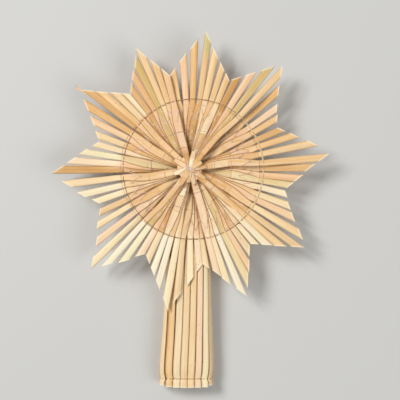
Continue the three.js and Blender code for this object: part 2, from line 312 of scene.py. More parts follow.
def map_node(tree, value, from_low, from_high, to_low=0.0, to_high=1.0, smooth=False):
    node = add_node(tree, "ShaderNodeMapRange", interpolation_type="SMOOTHSTEP" if smooth else "LINEAR")
    tree.links.new(value, node.inputs["Value"])
    limits = {"From Min": from_low, "From Max": from_high, "To Min": to_low, "To Max": to_high}
    for name, number in limits.items():
        node.inputs[name].default_value = number
    return node.outputs["Result"]


def mix_node(tree, factor, first, second, blend="MIX"):
    node = add_node(tree, "ShaderNodeMix", data_type="RGBA", blend_type=blend)
    for socket, value in ((node.inputs["Factor"], factor), (node.inputs[6], first), (node.inputs[7], second)):
        if isinstance(value, bpy.types.NodeSocket):
            tree.links.new(value, socket)
        else:
            socket.default_value = value
    return node.outputs[2]


def noise_node(tree, vector, scale, detail=2.0, roughness=0.5):
    node = add_node(tree, "ShaderNodeTexNoise")
    tree.links.new(vector, node.inputs["Vector"])
    node.inputs["Scale"].default_value = scale
    node.inputs["Detail"].default_value = detail
    node.inputs["Roughness"].default_value = roughness
    return node.outputs["Fac"]


def dimmed(tree, colour, brightness):
    """A colour multiplied by a brightness."""
    grey = add_node(tree, "ShaderNodeCombineColor")
    for channel in ("Red", "Green", "Blue"):
        tree.links.new(brightness, grey.inputs[channel])
    return mix_node(tree, 1.0, colour, grey.outputs[0], "MULTIPLY")


def add_relief(tree, shader, height, strength, distance):
    """Makes a shader's surface rise and fall with a height."""
    bump = add_node(tree, "ShaderNodeBump")
    bump.inputs["Strength"].default_value = strength
    bump.inputs["Distance"].default_value = distance
    tree.links.new(height, bump.inputs["Height"])
    tree.links.new(bump.outputs["Normal"], shader.inputs["Normal"])


# Where a straw is creased: how far from its middle, and half the width of the crease. The innermost comes
# from the crush in the pile, the others from a thread.
RING_REACH = 52.7 * MM
TIES = ((11.5 * MM, 0.2 * MM), (18.2 * MM, 0.3 * MM), (30.2 * MM, 0.3 * MM), (RING_REACH, 0.25 * MM))
PALE_END = (0.95, 0.84, 0.62, 1)  # torn fibres at a cut
# scorched edges, and painted shade between the straws
EDGE_SCORCH_AND_SHADE = (0.38, 0.165, 0.045, 1)
# brown flecks, and painted shade in the creases
FLECK_AND_CREASE_SHADE = (0.30, 0.13, 0.04, 1)
BLUSH = (0.88, 0.58, 0.40, 1)
UNRIPE = (0.56, 0.52, 0.20, 1)


def build_straw_grain():
    """Colour, roughness and relief of a pressed straw, from its own attributes."""
    group, given, result = new_group(
        "straw_grain",
        (
            ("Skin", "NodeSocketColor", (0.8, 0.6, 0.35, 1)),
            ("Toasted_and_shaded", "NodeSocketColor", (0.5, 0.25, 0.1, 1)),
            ("Bleached_and_lit", "NodeSocketColor", (0.9, 0.8, 0.6, 1)),
        ),
        (
            ("Color", "NodeSocketColor"),
            ("Roughness", "NodeSocketFloat"),
            ("Height", "NodeSocketFloat"),
        ),
    )

    def stored(attribute):
        """The three numbers of an attribute of the straw."""
        source = add_node(group, "ShaderNodeAttribute", attribute_name=attribute)
        parts = add_node(group, "ShaderNodeSeparateXYZ")
        group.links.new(source.outputs["Vector"], parts.inputs[0])
        return parts.outputs

    along, across, share = stored("straw_place")
    seed, bleach_and_painted_light, depth = stored("straw_state")
    shifted = math_node(group, "MULTIPLY", seed, 57.0)  # so that no two straws have the same pattern

    def stretched(per_metre_along, per_metre_across):
        """The straw's own coordinates, stretched so that a pattern runs lengthwise."""
        combine = add_node(group, "ShaderNodeCombineXYZ")
        group.links.new(math_node(group, "MULTIPLY", along, per_metre_along), combine.inputs["X"])
        group.links.new(math_node(group, "MULTIPLY", across, per_metre_across), combine.inputs["Y"])
        group.links.new(shifted, combine.inputs["Z"])
        return combine.outputs[0]

    def random_for(number):
        """A random number from 0 to 1, one for each straw and each value of the number given."""
        pair = add_node(group, "ShaderNodeCombineXYZ")
        group.links.new(shifted, pair.inputs["X"])
        group.links.new(number, pair.inputs["Y"])
        noise = add_node(group, "ShaderNodeTexWhiteNoise", noise_dimensions="2D")
        group.links.new(pair.outputs[0], noise.inputs["Vector"])
        return noise.outputs["Value"]

    fibres = noise_node(group, stretched(30, 2600), 1.0, 3.0, 0.6)
    streaks = noise_node(group, stretched(7, 420), 1.0, 2.0, 0.5)
    blotches = noise_node(group, stretched(34, 110), 1.0, 2.0, 0.6)
    flecks = noise_node(group, stretched(300, 1100), 1.0, 1.0, 0.5)

    # The tie threads crush a straw into short lengths, and each length took its own colour.
    reach = math_node(group, "ABSOLUTE", along)
    side = math_node(group, "SIGN", along)
    ring_side = math_node(group, "GREATER_THAN", reach, 49 * MM)
    slip = map_node(group, random_for(side), 0, 1, -4 * MM, 4 * MM)  # they slid under the ties
    slip = math_node(group, "MULTIPLY", slip, math_node(group, "SUBTRACT", 1.0, ring_side))
    tied = math_node(group, "ADD", reach, slip)
    length_number = side
    for tie, _ in TIES:
        passed = math_node(group, "GREATER_THAN", tied, tie)
        length_number = math_node(group, "ADD", length_number, math_node(group, "MULTIPLY", passed, 3.0))
    inside = map_node(group, reach, 56 * MM, 47 * MM, smooth=True)

    # Toasted inside the ring, and painted darker there as shade of the pile; bleached outside it, and painted
    # paler on the star's lower side as painted light; streaked everywhere.
    tone = math_node(group, "ADD", bleach_and_painted_light, map_node(group, random_for(length_number), 0, 1, -0.7, 0.7))
    tone = math_node(group, "ADD", tone, map_node(group, streaks, 0.3, 0.7, -0.3, 0.3))
    tone = math_node(group, "ADD", tone, map_node(group, blotches, 0.3, 0.7, -0.22, 0.22))
    # Painted shade: the pile inside the ring is painted darker and warmer, as its shade and the light bounced
    # between its straws
    tone = math_node(group, "SUBTRACT", tone, math_node(group, "MULTIPLY", inside, 0.3))
    paler = math_node(group, "MULTIPLY", tone, 1.0, clamp=True)
    darker = math_node(group, "MULTIPLY", tone, -1.0, clamp=True)
    # The bleached colour also serves as painted light, and the toasted one as painted shade
    colour = mix_node(group, paler, given.outputs["Skin"], given.outputs["Bleached_and_lit"])
    colour = mix_node(group, darker, colour, given.outputs["Toasted_and_shaded"])
    blush = noise_node(group, stretched(150, 330), 1.0, 2.0, 0.6)
    blush = math_node(group, "MULTIPLY", map_node(group, blush, 0.47, 0.65, 0.0, 0.7, smooth=True), inside)
    colour = mix_node(group, blush, colour, BLUSH)
    unripe = add_node(group, "ShaderNodeAttribute", attribute_name="straw_unripe").outputs["Fac"]
    colour = mix_node(group, unripe, colour, UNRIPE)
    colour = dimmed(group, colour, map_node(group, fibres, 0.3, 0.7, 0.84, 1.06))

    # The folded edges are darkened, most of all in the pile: partly scorched by the iron, partly painted
    # shade between the straws. Threads crease the straws across, and each crease is painted darker as shade.
    edge = map_node(group, math_node(group, "ABSOLUTE", share), 0.66, 1.0, smooth=True)
    edge = math_node(group, "MULTIPLY", edge, map_node(group, inside, 0, 1, 0.42, 1.0))
    colour = mix_node(group, edge, colour, EDGE_SCORCH_AND_SHADE)
    crease = 0.0
    for tie, half in TIES:
        crease = math_node(group, "ADD", crease, math_node(group, "COMPARE", tied, tie, half))
    crease = math_node(group, "MULTIPLY", crease, map_node(group, blotches, 0.42, 0.58, 0.1, 0.65))
    fleck = map_node(group, flecks, 0.70, 0.78, 0.0, 0.4)
    fleck_and_crease_shade = math_node(group, "ADD", crease, fleck, clamp=True)
    colour = mix_node(group, fleck_and_crease_shade, colour, FLECK_AND_CREASE_SHADE)
    torn = map_node(group, depth, 1.4, 0.2, 0.0, 0.7, smooth=True)
    colour = mix_node(group, torn, colour, PALE_END)
    group.links.new(colour, result.inputs["Color"])

    rough = math_node(group, "ADD", map_node(group, fibres, 0.3, 0.7, 0.36, 0.5), fleck)
    rough = math_node(group, "ADD", rough, math_node(group, "MULTIPLY", torn, 0.4), clamp=True)
    group.links.new(rough, result.inputs["Roughness"])
    relief = math_node(group, "ADD", fibres, math_node(group, "MULTIPLY", streaks, 0.8))
    relief = math_node(group, "SUBTRACT", relief, math_node(group, "MULTIPLY", crease, 1.2))
    group.links.new(relief, result.inputs["Height"])
    return group


straw_grain = build_straw_grain()

# Skin, toasted and bleached colours of each kind of straw; the toasted one also serves as painted shade and
# the bleached one as painted light.
STRAW_TONES = {
    "straw_cream": ((0.94, 0.73, 0.44, 1), (0.84, 0.51, 0.22, 1), (0.97, 0.87, 0.64, 1)),
    "straw_gold": ((0.92, 0.64, 0.33, 1), (0.78, 0.43, 0.15, 1), (0.97, 0.81, 0.52, 1)),
    "straw_tan": ((0.79, 0.49, 0.22, 1), (0.63, 0.33, 0.10, 1), (0.92, 0.72, 0.45, 1)),
    "straw_pink": ((0.94, 0.65, 0.40, 1), (0.83, 0.48, 0.22, 1), (0.97, 0.81, 0.57, 1)),
    "straw_green": ((0.86, 0.68, 0.36, 1), (0.68, 0.46, 0.17, 1), (0.94, 0.84, 0.55, 1)),
}


def straw_material(slot):
    material, tree, shader = new_material(slot + "_skin")
    grain = add_node(tree, "ShaderNodeGroup", node_tree=straw_grain)
    for name, colour in zip(("Skin", "Toasted_and_shaded", "Bleached_and_lit"), STRAW_TONES[slot]):
        grain.inputs[name].default_value = colour
    tree.links.new(grain.outputs["Color"], shader.inputs["Base Color"])
    tree.links.new(grain.outputs["Roughness"], shader.inputs["Roughness"])
    add_relief(tree, shader, grain.outputs["Height"], 0.35, 0.1 * MM)
    shader.inputs["Specular IOR Level"].default_value = 0.35
    return material


straw_skins = {slot: straw_material(slot) for slot in STRAW_TONES}
node_slots = {part["node"]: part["material_slot"] for part in frame["record"]["subparts"]}


def finish_straw(straw, kind):
    """Gives a straw the skin of its kind."""
    straw.data.materials.clear()
    straw.data.materials.append(straw_skins[kind])
    activate(straw)
    bpy.ops.object.shade_smooth_by_angle(angle=SMOOTH_ANGLE)
    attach(straw, "root")


def dress_straw(straw, node):
    """Gives a straw its skin, and lets it stand for its CAD straw."""
    finish_straw(straw, node_slots[node])
    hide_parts(node)


def straw_blank(name, profile):
    blank = drawn_out(name, profile, BLANK_REACH, BLANK_SIDES)
    apply_modifier(blank, "MIRROR", use_clip=True, merge_threshold=0.01 * MM)
    faces_outward(blank)
    return blank


top_blank = straw_blank("top_blank", PRESSED)
low_blank = straw_blank("low_blank", PRESSED_WIDE)
straws = random.Random(11)

PAINTED_LIGHT_FROM = Vector((-0.28, -0.96, 0))  # painted light: the lower rays, a little to the left, are painted the palest, as if lit from there
MEAN_TONE, SIDE_TONE = 0.06, 0.75  # how bleached the rays are, and how much paler they are painted towards that side as painted light, and darker away from it as painted shade
# Rays that stand out from their neighbours: bearing in degrees, and how much paler or darker they are.
ODD_RAYS = (
    (1.5, -0.5), (7.5, 0.9), (12, 0.3), (17, -0.5), (54, 0.2), (72, -0.4), (77.7, -0.7), (134, 0.6),
    (149, -0.5), (170, 0.4), (216, 0.4), (262, -0.3), (269.3, -0.7), (278.2, 0.5), (307, -0.3), (334, -0.5),
)
RAY_MATCH = 2.2  # degrees within which a bearing means a ray
# Bleached lengths inside the ring thread: bearing, where they begin and end, and how much paler they are.
PALE_LENGTHS = ((253, 11 * MM, 33 * MM, 1.3), (12, 16 * MM, 34 * MM, 0.9), (305, 30 * MM, 46 * MM, 0.5))
# One straw was still green towards its tip: its bearing, where the green begins, how far it takes to
# come up, and how strong it is.
UNRIPE_RAY = 7.5
UNRIPE_FROM, UNRIPE_OVER = 82 * MM, 14 * MM
UNRIPE_SHARE = 0.75
# The straws laid last are crushed at the middle, less and less out to CRUSH_REACH.
CRUSHED, CRUSH_REACH = 1.3 * MM, 12 * MM
# One half of each then dives under its neighbours: distance from the middle and depth, in millimetres, and
# the bearing of each half that dives, with its share of that depth.
DIVE = ((0, 0), (5, 1.0), (10, 2.0), (16, 2.5), (24, 2.3), (33, 1.5), (43, 0.7), (53, 0), (120, 0))
DIVING = ((205, 1.0), (210, 1.0), (216, 1.0), (221, 1.0), (307.5, 0.7), (311, 0.7), (134.6, 0.7))
DIVING_MATCH = 1.5  # degrees


def off_bearing(heading, bearing):
    """How many degrees a direction is away from a bearing."""
    turn = math.degrees(math.atan2(heading.x, heading.y)) - bearing
    return abs((turn + 180) % 360 - 180)


def ray_bleach_and_painted_light(heading):
    """How pale a ray is: bleached, painted paler towards the lit side of the star and darker away from it as
    painted light and shade, and its own tone if it is an odd one.
    """
    tone = MEAN_TONE + SIDE_TONE * heading.normalized().dot(PAINTED_LIGHT_FROM)
    return tone + sum(change for odd, change in ODD_RAYS if off_bearing(heading, odd) < RAY_MATCH)


star_straws = []
star_routes = []
star_nodes = sorted(name for name in nodes if name.startswith("star_straw"))
last_laid = sorted(star_nodes, key=lambda node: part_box(node)[1].z)[-LAST_LAID:]
for node in star_nodes:
    route, first_end, last_end = star_straw_route(node)
    star_routes.append(route)
    profile = PRESSED if node in last_laid else PRESSED_WIDE
    runs = lengths_along(route)
    middle = runs[len(route) // 2]
    widening = straws.uniform(0.93, 1.05)
    straw = copy_of(top_blank if node in last_laid else low_blank, node + "_pressed")
    activate(straw)
    bpy.ops.transform.translate(value=(middle, 0, 0))
    bpy.ops.transform.resize(value=(1, widening, 1))
    bpy.ops.object.transform_apply(location=True, rotation=True, scale=True)
    start = [(runs[1] - x, -y) for x, y in flat_end(route, first_end, False)]
    end = [(runs[-2] + x, y) for x, y in flat_end(route, last_end, True)]
    planes = (cut_end(straw, start[0], start[1], -1), cut_end(straw, end[0], end[1], 1))
    centre = route[len(route) // 2]
    headings = (route[0] - centre, route[-1] - centre)
    if node in last_laid:
        for i, spot in enumerate(route):
            reach = (spot - centre).to_2d().length
            heading = headings[i > len(route) // 2]
            depth = profile_at(DIVE, reach / MM)[0] * MM
            share = sum(part for bearing, part in DIVING if off_bearing(heading, bearing) < DIVING_MATCH)
            spot.z -= CRUSHED * max(0, 1 - reach / CRUSH_REACH) + share * depth
    tones = [ray_bleach_and_painted_light(heading) for heading in headings]
    pale_lengths = [
        [pale for pale in PALE_LENGTHS if off_bearing(heading, pale[0]) < RAY_MATCH] for heading in headings
    ]
    height = (centre.z - star_centre.z) / MM
    handled = 0.1 * max(0.0, height - 2)  # the straws laid last were handled and pressed the most

    def bleach_and_painted_light(x):
        ray = 0 if x < 0 else 1
        outside = clamped((abs(x) - RING_REACH + 3 * MM) / (6 * MM))
        pale = sum(change for _, near, far, change in pale_lengths[ray] if near < abs(x) < far)
        # the ray's tone, with its painted light and shade, counts fully outside the ring and a quarter inside
        # it
        return tones[ray] * (0.25 + 0.75 * outside) - handled * (1 - outside) + pale

    def unripe(x):
        near = off_bearing(headings[0 if x < 0 else 1], UNRIPE_RAY) < RAY_MATCH
        return UNRIPE_SHARE * clamped((abs(x) - UNRIPE_FROM) / UNRIPE_OVER) if near else 0.0

    note_places(straw, straws.random(), profile, widening, middle, planes, bleach_and_painted_light, unripe)
    bend_along(straw, route)
    dress_straw(straw, node)
    star_straws.append(straw)
bpy.data.objects.remove(top_blank)
bpy.data.objects.remove(low_blank)


# ---- Straws of the sleeve ----
# Half-pressed straws set side by side into a flattened tube that slips over the tip of the tree. Their
# upper ends are hidden between the rays; their lower ends are cut off square and stay open.

# Distance from the upper end, width and thickness: a thread draws them in just above the rim.
HALF_PRESSED = (
    (0, 3.9, 0.9), (20, 4.2, 0.95), (66, 4.75, 1), (106, 5.1, 1), (136, 5.4, 1), (144, 5.2, 0.9),
    (151, 5.4, 1), (170, 5.4, 1),
)
# The straws in front, from the left: how far each is shifted to the right of its even place, its width
# as a share of the others, and how bleached it is; the outer ones are painted paler, on the right partly
# as painted light where they turn away from the key lamp. The second stands off from the first.
IN_FRONT = (
    (-0.3, 1.0, 1.1), (1.2, 0.92, 0.2), (1.6, 0.96, 0.25), (1.8, 0.97, 0.3), (1.9, 0.94, 0.3),
    (1.8, 0.9, 0.7), (1.5, 0.88, 1.0), (0.7, 0.86, 1.1),
)
# The thread above the rim draws them back: from this far below the middle of the ornament, over this
# length, and down to this share of the shift.
SHIFTED_TO, SHIFT_FADE = 75 * MM, 90 * MM
SHIFT_AT_RIM = 0.45
SLEEVE_SIDES = 16  # around a straw
SLEEVE_REACH = 165 * MM  # before it is cut to length
SQUARE_CUT = 0.05 * MM  # cut off the upper end
RESTING = 0.57 * MM  # height of the middle of a straw that lies on the floor


def sleeve_route(node):
    """Middle points of a sleeve straw's sections from the top down, and the outward direction at each."""
    route, outward = [], []
    for section in straw_stations(node, 6, Vector((0, -1, 0))):
        left, right = max(
            ((a, b) for a in section for b in section), key=lambda pair: (pair[0] - pair[1]).length
        )
        middle = (left + right) / 2
        out = (right - left).cross(Vector((0, 1, 0))).normalized()
        if out.dot(middle - sleeve_axis(middle.y)) < 0:
            out.negate()
        route.append(middle)
        outward.append(out)
    return route, outward


rim_low, rim_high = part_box("sleeve_rim_thread")
band_low, band_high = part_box("sleeve_inner_thread")


def sleeve_axis(y):
    """Middle of the sleeve at a height: a line through the middles of its two threads."""
    rim, band = (rim_low + rim_high) / 2, (band_low + band_high) / 2
    return rim + (band - rim) * (y - rim.y) / (band.y - rim.y)


def turned(outward):
    """How far a straw that faces up is turned about its length to face outwards."""
    tilts = [math.atan2(-out.x, out.z) for out in outward]
    for i in range(1, len(tilts)):
        tilts[i] += 2 * math.pi * round((tilts[i - 1] - tilts[i]) / (2 * math.pi))
    return tilts


def cut_square(straw, start, end):
    """Cuts a straw off squarely at both ends, and opens both."""
    return cut_end(straw, (start, 1), (start, -1), -1), cut_end(straw, (end, 1), (end, -1), 1)


sleeve_blank = drawn_out("sleeve_blank", HALF_PRESSED, SLEEVE_REACH, SLEEVE_SIDES)
faces_outward(sleeve_blank)
sleeve_nodes = sorted(name for name in nodes if name.startswith("sleeve_straw"))
sleeve_routes = [sleeve_route(node) for node in sleeve_nodes]
facing_up = sorted(range(len(sleeve_nodes)), key=lambda i: -sum(out.z for out in sleeve_routes[i][1]))
in_front = sorted(facing_up[:len(IN_FRONT)], key=lambda i: sleeve_routes[i][0][-1].x)
for i, (node, (route, outward)) in enumerate(zip(sleeve_nodes, sleeve_routes)):
    length = lengths_along(route)[-1]
    straw = copy_of(sleeve_blank, node + "_pressed")
    widening = straws.uniform(0.94, 1.04)
    shift, width_share, tone = IN_FRONT[in_front.index(i)] if i in in_front else (0, 1.0, 0.0)
    widening *= width_share
    for spot, out in zip(route, outward):
        even = clamped(1 - (-spot.y - SHIFTED_TO) / SHIFT_FADE, SHIFT_AT_RIM)
        spot += out.cross(Vector((0, -1, 0))).normalized() * shift * even * MM
        spot.z = max(spot.z, RESTING)
    activate(straw)
    bpy.ops.transform.resize(value=(1, widening, 1))
    bpy.ops.object.transform_apply(location=True, rotation=True, scale=True)
    planes = cut_square(straw, SQUARE_CUT, length)
    note_places(straw, straws.random(), HALF_PRESSED, widening, 0, planes, lambda x: tone)
    bend_along(straw, route, turned(outward))
    dress_straw(straw, node)

# A straw of the back layer lies tucked behind the widest gap in front.
TUCKED_BEHIND = 0.75 * MM
TUCKED_TONE = -0.5  # painted darker than the straws in front, as painted shade behind them
gap_left, gap_right = (sleeve_routes[i] for i in in_front[:2])
tucked_route = [
    (a + b) / 2 - (out_a + out_b).normalized() * TUCKED_BEHIND
    for a, b, out_a, out_b in zip(gap_left[0], gap_right[0], gap_left[1], gap_right[1])
][:-1]
tucked_out = [(a + b).normalized() for a, b in zip(gap_left[1], gap_right[1])][:-1]
tucked = copy_of(sleeve_blank, "tucked_straw")
planes = cut_square(tucked, SQUARE_CUT, lengths_along(tucked_route)[-1])
note_places(tucked, 0.4, HALF_PRESSED, 1.0, 0, planes, lambda x: TUCKED_TONE)
bend_along(tucked, tucked_route, turned(tucked_out))
finish_straw(tucked, "straw_tan")
bpy.data.objects.remove(sleeve_blank)


# ---- Ring thread ----
# Two strands of thin two-ply thread, twined round the rays: one passes over a ray while the other passes
# under it, and they cross in the gap before the next ray. Pulled tight, they narrow the straws.

RING_THREAD = 0.56 * MM  # across both plies
PLY_TURN = 1.3 * MM  # length of one turn of the plies
PLY_STEPS = 8
CROSSING = 0.22 * MM  # how far in or out of the ring each strand lies where they cross
RAY_HALF = 0.2 * MM  # about half the thickness of a ray under the thread
CAD_RING_HALF = 0.35 * MM  # half the thickness of the ring thread's solid


def new_thread(name, length, across):
    """A straight two-ply thread along X: one turn of both plies is drawn out, then repeated."""
    ply = across * 0.29
    deselect_all()
    bpy.ops.mesh.primitive_circle_add(
        vertices=6, radius=ply, location=(0, ply * 0.8, 0), rotation=(0, math.pi / 2, 0)
    )
    thread = bpy.context.object
    thread.name = name
    bpy.ops.object.transform_apply(location=True, rotation=True)
    bpy.ops.object.mode_set(mode="EDIT")
    bpy.ops.mesh.select_all(action="SELECT")
    bpy.ops.mesh.duplicate_move(TRANSFORM_OT_translate={"value": (0, -ply * 1.6, 0)})
    bpy.ops.mesh.select_all(action="SELECT")
    for step in range(1, PLY_STEPS + 1):
        bpy.ops.mesh.extrude_region_move(TRANSFORM_OT_translate={"value": (PLY_TURN / PLY_STEPS, 0, 0)})
        bpy.ops.transform.rotate(
            value=2 * math.pi / PLY_STEPS, orient_axis="X",
            center_override=(step * PLY_TURN / PLY_STEPS, 0, 0),
        )
    bpy.ops.object.mode_set(mode="OBJECT")
    apply_modifier(
        thread, "ARRAY", count=round(length / PLY_TURN), use_relative_offset=False, use_constant_offset=True,
        constant_offset_displace=(PLY_TURN, 0, 0), use_merge_vertices=True, merge_threshold=0.02 * MM,
    )
    faces_outward(thread)
    return thread


def close_loop(thread):
    activate(thread)
    bpy.ops.object.mode_set(mode="EDIT")
    bpy.ops.mesh.select_all(action="SELECT")
    bpy.ops.mesh.remove_doubles(threshold=0.03 * MM)
    bpy.ops.mesh.normals_make_consistent(inside=False)
    bpy.ops.object.mode_set(mode="OBJECT")


def lay_loop(name, points, across, radii=None):
    """A closed loop of thread laid along the points."""
    length = sum((b - a).length for a, b in zip(points, points[1:] + points[:1]))
    thread = new_thread(name, length, across)
    bend_along(thread, points, radii=radii, closed=True)
    close_loop(thread)
    return thread


def crossings(centre, radius):
    """Where the rays pass under a circle, in order around it: the middle of each straw there."""
    found = []
    for route in star_routes:
        for start, end in zip(route, route[1:]):
            near = (start - centre).to_2d().length
            far = (end - centre).to_2d().length
            if (near - radius) * (far - radius) < 0:
                spot = start.lerp(end, (radius - near) / (far - near))
                found.append((math.atan2(spot.x - centre.x, spot.y - centre.y), spot))
    return [spot for bearing, spot in sorted(found, key=lambda pair: pair[0])]


def thread_material(name, dark, pale, towards, reach):
    """Spun thread: dark on one side of the ornament and paler towards the other, between two distances from
    the star's middle."""
    material, tree, shader = new_material(name)
    place = add_node(tree, "ShaderNodeTexCoord")
    side = add_node(tree, "ShaderNodeVectorMath", operation="DOT_PRODUCT")
    tree.links.new(place.outputs["Object"], side.inputs[0])
    side.inputs[1].default_value = towards
    offset = star_centre.dot(towards)
    # how far a point lies towards the paler side; on the ring thread this is painted light
    pale_share = map_node(tree, side.outputs["Value"], offset + reach[0], offset + reach[1], smooth=True)
    fuzz = noise_node(tree, place.outputs["Object"], 2600, 3.0, 0.6)
    spun = noise_node(tree, place.outputs["Object"], 420, 2.0, 0.5)
    pale_share = math_node(tree, "ADD", pale_share, map_node(tree, spun, 0.3, 0.7, -0.15, 0.15), clamp=True)
    colour = dimmed(tree, mix_node(tree, pale_share, dark, pale), map_node(tree, fuzz, 0.3, 0.7, 0.7, 1.1))
    tree.links.new(colour, shader.inputs["Base Color"])
    add_relief(tree, shader, fuzz, 0.4, 0.05 * MM)
    shader.inputs["Roughness"].default_value = 0.8
    return material


def finish_thread(thread, material):
    thread.data.materials.clear()
    thread.data.materials.append(material)
    activate(thread)
    bpy.ops.object.shade_smooth()
    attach(thread, "root")


def dress_thread(thread, material, node):
    finish_thread(thread, material)
    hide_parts(node)


# The ring thread is painted pale cream on the right as painted light, and brown elsewhere as painted shade.
ring_yarn = thread_material(
    "ring_yarn", (0.46, 0.24, 0.10, 1), (0.92, 0.72, 0.44, 1), Vector((1, 0.1, 0)), (30 * MM, 48 * MM)
)
ring_centre = (ring_low + ring_high) / 2
ring_radius = (ring_high.x - ring_low.x) / 2 - CAD_RING_HALF
ring_spots = crossings(ring_centre, ring_radius)
for strand, node in enumerate(("ring_thread_front", "ring_thread_back")):
    points, radii = [], []
    for i, spot in enumerate(ring_spots):
        after = ring_spots[(i + 1) % len(ring_spots)]
        over = 1 if (i + strand) % 2 == 0 else -1
        points.append(spot + Vector((0, 0, over * (RAY_HALF + RING_THREAD / 2))))
        middle = (spot + after) / 2
        out, _ = level_directions(ring_centre, middle)
        middle += out * (ring_radius - (middle - ring_centre).to_2d().length)
        points.append(middle + out * CROSSING * (1 if strand else -1))
        fuzzy = clamped((spot.x - ring_centre.x) / (50 * MM) * 2 - 0.9)
        radii += [1 + 0.9 * fuzzy] * 2  # on the right it is fluffed up to nearly twice its thickness
    dress_thread(lay_loop(node + "_twined", points, RING_THREAD, radii), ring_yarn, node)


# ---- Tie threads of the centre ----
# Finer thread laid round the centre twice, which holds the pile of crossing straws. It goes over some of
# them and under the others, and the last straws laid hide it. A paler thread zigzags round outside it.

TIE_THREAD = 0.32 * MM
CAD_TIE_HALF = 0.25 * MM  # half the thickness of a tie thread's solid
TIE_SECTORS = 24
SECTOR_STEPS = 7
TIE_SHARE_OVER = 0.6  # of the sectors, in which the thread lies on top of the straws
TIE_BURIED = 1.1 * MM  # how deep it lies in the others
ABOVE_ALL = 0.05  # a height above everything, from which a ray is sent down


def surface_of(straws_in_it):
    """Straws in one tree for ray casts."""
    vertices, faces = [], []
    for straw in straws_in_it:
        first = len(vertices)
        vertices += [v.co.copy() for v in straw.data.vertices]
        faces += [[first + i for i in face.vertices] for face in straw.data.polygons]
    return BVHTree.FromPolygons(vertices, faces)


pile = surface_of(star_straws)
lower_pile = surface_of(straw for straw, node in zip(star_straws, star_nodes) if node not in last_laid)


def height_on(surface, x, y):
    """Height of the topmost straw at a place, or of the star's middle plane in a gap."""
    hit = surface.ray_cast(Vector((x, y, ABOVE_ALL)), Vector((0, 0, -1)))[0]
    return hit.z if hit else star_centre.z


def laid_on(surface, spots, above, buried):
    """Points of a thread laid on the front of the straws, pulled tight over the hollows between them."""
    heights = [height_on(surface, x, y) for x, y in spots]
    points = []
    for i, (x, y) in enumerate(spots):
        around = [heights[(i + k) % len(heights)] for k in (-2, -1, 0, 1, 2)]
        tight = max(around) * 0.5 + sum(around) / len(around) * 0.5
        points.append(Vector((x, y, max(heights[i], tight) + above - buried[i])))
    return points


def wavering_ring(centre, radius, wander, hands):
    """Spots round a hand-laid ring, and how deep the thread is buried at each."""
    knots = [(radius + hands.uniform(-wander, wander), hands.random() > TIE_SHARE_OVER)
             for _ in range(TIE_SECTORS)]
    spots, buried = [], []
    for i in range(TIE_SECTORS * SECTOR_STEPS):
        sector, share = i // SECTOR_STEPS, i % SECTOR_STEPS / SECTOR_STEPS
        (start, under), (end, _) = knots[sector], knots[(sector + 1) % TIE_SECTORS]
        angle = 2 * math.pi * i / (TIE_SECTORS * SECTOR_STEPS)
        reach = start + (end - start) * share
        spots.append((centre.x + reach * math.sin(angle), centre.y + reach * math.cos(angle)))
        buried.append(TIE_BURIED if under else 0)
    return spots, buried


hands = random.Random(5)
tie_yarn = thread_material(
    "tie_yarn", (0.44, 0.23, 0.10, 1), (0.80, 0.56, 0.34, 1), Vector((0.5, 0.85, 0)), (-20 * MM, 25 * MM)
)
for node, wander in (("inner_tie_thread", 0.9 * MM), ("middle_tie_thread", 1.3 * MM)):
    tie_low, tie_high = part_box(node)
    tie_radius = (tie_high.x - tie_low.x) / 2 - CAD_TIE_HALF
    spots, buried = wavering_ring((tie_low + tie_high) / 2, tie_radius, wander, hands)
    points = laid_on(lower_pile, spots, TIE_THREAD * 0.35, buried)
    dress_thread(lay_loop(node + "_laid", points, TIE_THREAD), tie_yarn, node)

# A pale thread zigzags between the tie threads and the ring thread and keeps the rays apart.
ZIGZAG_INNER, ZIGZAG_OUTER = 37 * MM, 46 * MM
ZIGZAG_TURNS = 35
TURN_STEPS = 8
ZIGZAG_WANDER = 0.4  # in millimetres
ZIGZAG_BURIED = 0.7 * MM  # how deep it lies between the straws in every fourth pair of turns
ZIGZAG_THREAD = 0.42 * MM
zigzag_yarn = thread_material(
    "zigzag_yarn", (0.90, 0.62, 0.44, 1), (0.97, 0.82, 0.64, 1), Vector((-0.7, 0.7, 0)), (-40 * MM, 40 * MM)
)
spots, buried = [], []
for i in range(ZIGZAG_TURNS * TURN_STEPS):
    angle = 2 * math.pi * i / (ZIGZAG_TURNS * TURN_STEPS)
    swing = abs(i % TURN_STEPS / (TURN_STEPS / 2) - 1)
    wander = hands.uniform(-ZIGZAG_WANDER, ZIGZAG_WANDER) * MM
    reach = ZIGZAG_INNER + (ZIGZAG_OUTER - ZIGZAG_INNER) * swing + wander
    spots.append((star_centre.x + reach * math.sin(angle), star_centre.y + reach * math.cos(angle)))
    buried.append(ZIGZAG_BURIED if i // (2 * TURN_STEPS) % 4 == 1 else 0)
points = laid_on(lower_pile, spots, ZIGZAG_THREAD * 0.5, buried)
finish_thread(lay_loop("zigzag_thread", points, ZIGZAG_THREAD), zigzag_yarn)


# ---- Crushed lengths at the middle ----
# Where all the straws cross they are crushed and split, and short flat lengths of them stick out round
# the middle like petals. They hide the crossing, and a few turns of pale thread knot them down.

# Distance from a length's own middle, width and thickness: both its ends are drawn in.
PETAL = ((0, 4.2, 0.34), (3, 4.0, 0.34), (6, 3.2, 0.3), (9, 2.0, 0.26))
PETAL_SIDES = 12
PETAL_START = 0.6  # from the star's middle, in millimetres
PETAL_DROP = 0.9 * MM  # the most it falls between two of its points
SIDE_TOUCH = 1.2 * MM  # how far to each side it rests on what lies below
LAID_HEIGHT = 0.2 * MM  # its middle, above what it rests on
